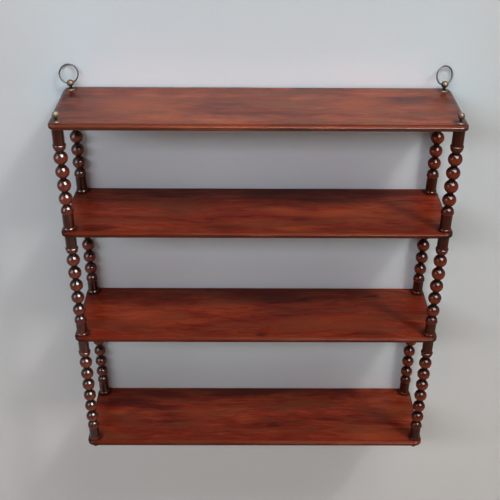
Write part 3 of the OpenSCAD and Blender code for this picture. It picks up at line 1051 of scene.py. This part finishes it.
top_face = box_of("top_shelf")[1, 2]
for side in ("left", "right"):
    node = "finial_front_" + side
    z = eased(-BRASS_SINK, HEAD_Z + HEAD_D / 2, 110)
    head_low = HEAD_Z - HEAD_D / 2 * math.sin(TAPER)
    cone = HEAD_D / 2 * math.cos(TAPER) - (head_low - z) * math.tan(TAPER)
    radii = softest([
        dome(z, BASE_D, BASE_H),
        drum(z, -1, HEAD_Z, FINIAL_NECK_D),
        np.where(z > head_low, ball(z, HEAD_Z, HEAD_D), 0),
        np.where(z <= head_low, cone, 0),
    ], BRASS_FILL)
    radii[-1] = TIP_R
    wear_and_painted_light = np.clip((radii - FINIAL_NECK_D / 2) / RUBS_OVER, 0, 1)
    # The head's top half is made fully bright: partly wear, partly painted light.
    wear_and_painted_light[z > HEAD_Z] = 1
    wear_and_painted_light[z < BASE_H] *= BASE_RUB
    piece = turn_on_lathe("brass_", node, top_face + z, radii, cast_brass[side], wear_and_painted_light)
    stand_for(piece, node, "shelf")
print("finials stand", round(z[-1], 1), "mm high")

# %% [markdown]
# ## The eyes' shape
#
# The two back corners carry a brass eye with an urn-shaped head, and a hole through it for the
# ring. The urn comes off the lathe. The hole isn't a plain drilled one: it flares to both sides, so
# that the ring can swing and lean. The surest way to leave the ring room is to cut away whatever
# its wire passes through, so the cutter is the shape that the swinging wire sweeps.

# %% Eye and cutter shapes
EYE_BASE_D, EYE_BASE_H = 12.6, 2.2
EYE_NECK_D, EYE_NECK_Z, EYE_HEAD_D, EYE_SWELL_D, EYE_TOP_D = 4.6, 5.0, 12.2, 9.8, 7.4
HOLE_Z, CROWN = 10.0, 4.8
RING_D, WIRE_D, RING_GAP = 32.0, 2.4, 0.2
RING_R = (RING_D - WIRE_D) / 2
PLAY = math.radians(8)
SPOOL_ROWS, SPOOL_COLUMNS = 81, 48


def urn_profile():
    """Heights and radii of an eye: base, neck, a swelling cone and a flat-topped ball."""
    shoulder = HOLE_Z + CROWN - half_chord(EYE_HEAD_D, EYE_TOP_D)
    z = np.linspace(-BRASS_SINK, HOLE_Z + CROWN, 120)
    halfway = (EYE_NECK_Z + shoulder) / 2
    swell = np.interp(z, [EYE_NECK_Z, EYE_NECK_Z + 0.01, halfway, shoulder, shoulder + 0.01],
                      [0, EYE_NECK_D / 2, EYE_SWELL_D / 2, EYE_HEAD_D / 2, 0])
    radii = softest([
        dome(z, EYE_BASE_D, EYE_BASE_H),
        drum(z, -1, HOLE_Z, EYE_NECK_D),
        swell,
        np.where(z >= shoulder, ball(z, shoulder, EYE_HEAD_D), 0),
    ], BRASS_FILL)
    return z, radii


def swept_by_wire(centre, turn):
    """What a leaning ring's wire sweeps as it swings: a waisted spool along the hole, whose
    radius at s along it is R cos(lean) + gap - sqrt(r*r - (s - R sin(lean))**2) at its least,
    where R is the ring's radius and r its inner one."""
    s = np.linspace(-EYE_HEAD_D, EYE_HEAD_D, SPOOL_ROWS)
    leans = np.array([-PLAY, PLAY])[:, None]
    inner = RING_R - WIRE_D / 2
    chord = np.sqrt(np.clip(inner**2 - (s - RING_R * np.sin(leans)) ** 2, 0, None))
    radius = (RING_R * np.cos(leans) + RING_GAP - chord).max(0)
    angle = np.linspace(0, 2 * np.pi, SPOOL_COLUMNS, endpoint=False)
    along = np.broadcast_to(s[:, None], (len(s), len(angle)))
    local = np.stack([along, -radius[:, None] * np.sin(angle), radius[:, None] * np.cos(angle)], -1)
    about = np.array([[np.cos(turn), -np.sin(turn), 0], [np.sin(turn), np.cos(turn), 0], [0, 0, 1]])
    return local @ about.T + centre


urn_z, urn_radii = urn_profile()
print("an eye is", round(urn_z[-1], 1), "mm high and", round(2 * urn_radii.max(), 1), "mm across")

# %% [markdown]
# ## The ring eyes
#
# A Boolean modifier takes the cutter out of the urn. Its result is kept as a plain mesh and the
# cutter is thrown away, so nothing is left to be worked out again. The right eye has been knocked
# round on its screw, and its ring hangs at that angle too.

# %% Ring eyes
EYE_TURNS = {"left": 0.0, "right": math.radians(25)}
SHARP_CUT = math.radians(35)
HEAD_SHADE_OVER, HEAD_SHADE_CURVE = 6.0, 3


def cut_away(piece, cutter):
    """Takes the cutter out of the piece with a Boolean and keeps the result as a plain mesh."""
    modifier = piece.modifiers.new("hole", "BOOLEAN")
    modifier.operation, modifier.solver, modifier.object = "DIFFERENCE", "EXACT", cutter
    graph = bpy.context.evaluated_depsgraph_get()
    mesh = bpy.data.meshes.new_from_object(piece.evaluated_get(graph))
    piece.modifiers.clear()
    piece.data = mesh
    bpy.data.objects.remove(cutter)
    mesh.set_sharp_from_angle(angle=SHARP_CUT)


for side, turn in EYE_TURNS.items():
    node = "ring_eye_" + side
    # Up an eye's head the colour runs from dark to bright: painted shade below, painted light on
    # top.
    wear_and_painted_light = np.clip((urn_radii - EYE_NECK_D / 2) / RUBS_OVER, 0, 1)
    lit_towards_top = np.clip((urn_z - EYE_NECK_Z) / HEAD_SHADE_OVER, 0, 1) ** HEAD_SHADE_CURVE
    wear_and_painted_light *= np.where(urn_z > EYE_NECK_Z, lit_towards_top, BASE_RUB)
    piece = turn_on_lathe("brass_", node, top_face + urn_z, urn_radii, cast_brass["eye"], wear_and_painted_light)
    loops = swept_by_wire(np.array([*corner_axis(node), top_face + HOLE_Z]), turn)
    cut_away(piece, build_stack("cutter", loops, cast_brass["eye"]))
    stand_for(piece, node, "shelf")
    print(piece.name, len(piece.data.polygons), "faces after the cut")

# %% [markdown]
# ## The hanging rings
#
# A ring is wire bent round a former and butted, never quite closed: a fine dark line runs round the
# wire where its ends meet. Blender's own torus has no such line, so the ring is a circle carried
# round a circle, with more steps at the butt. Where it hangs, and how it leans, is read from its
# solid: the middle of the box is the ring's middle, and the direction in which its points spread
# least is its axis.

# %% Hanging rings
GROOVE_DEEP, GROOVE_WIDE = 0.3, 0.35
WIRE_RUB = 0.6
RING_STEPS, BUTT_STEPS, WIRE_STEPS = 96, 14, 20
BUTT_REACH = 0.07
BUTTS = {"left": 2.2, "right": 0.9}


def measured_ring(node):
    """Middle, and two directions in the plane, of a node that is a ring, from its own points."""
    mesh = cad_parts[node].data
    points = np.empty(len(mesh.vertices) * 3)
    mesh.vertices.foreach_get("co", points)
    points = points.reshape(-1, 3) / MM
    low, high = box_of(node)
    axis = np.linalg.svd(points - points.mean(0), full_matrices=False)[2][2]
    up = np.array([0, 0, 1]) - axis[2] * axis
    up /= np.linalg.norm(up)
    return (low + high) / 2, np.cross(up, axis), up


def wire_ring(node, butt):
    """A ring of wire: the wire's circle carried round the ring's. At the angle butt, where the
    ends meet, the wire's radius dips in a narrow groove: deep * exp(-(arc / wide)**2)."""
    middle, side, up = measured_ring(node)
    round_ring = np.sort(np.concatenate([
        np.linspace(0, 2 * np.pi, RING_STEPS, endpoint=False),
        butt + np.linspace(-BUTT_REACH, BUTT_REACH, BUTT_STEPS)
    ]))
    round_wire = np.linspace(0, 2 * np.pi, WIRE_STEPS, endpoint=False)
    groove = GROOVE_DEEP * np.exp(-((round_ring - butt) * RING_R / GROOVE_WIDE) ** 2)
    wire = (WIRE_D / 2 - groove)[:, None]
    outward = np.cos(round_ring)[:, None] * side + np.sin(round_ring)[:, None] * up
    points = middle + (
        (RING_R + wire * np.cos(round_wire))[..., None] * outward[:, None]
        + (wire * np.sin(round_wire))[..., None] * np.cross(side, up)
    )
    here = np.arange(points[..., 0].size).reshape(points.shape[:2])
    ahead = np.roll(here, -1, 0)
    quads = np.stack([here, ahead, np.roll(ahead, -1, 1), np.roll(here, -1, 1)], -1).reshape(-1, 4)
    wear_and_painted_light = np.repeat(1 - groove / GROOVE_DEEP, WIRE_STEPS) * WIRE_RUB
    return build_piece("wire_" + node, points.reshape(-1, 3), [quads], wire_brass, wear_and_painted_light)


for side, butt in BUTTS.items():
    piece = wire_ring("hanging_ring_" + side, butt)
    stand_for(piece, "hanging_ring_" + side, side + "_ring")
    print(piece.name, len(piece.data.polygons), "faces")
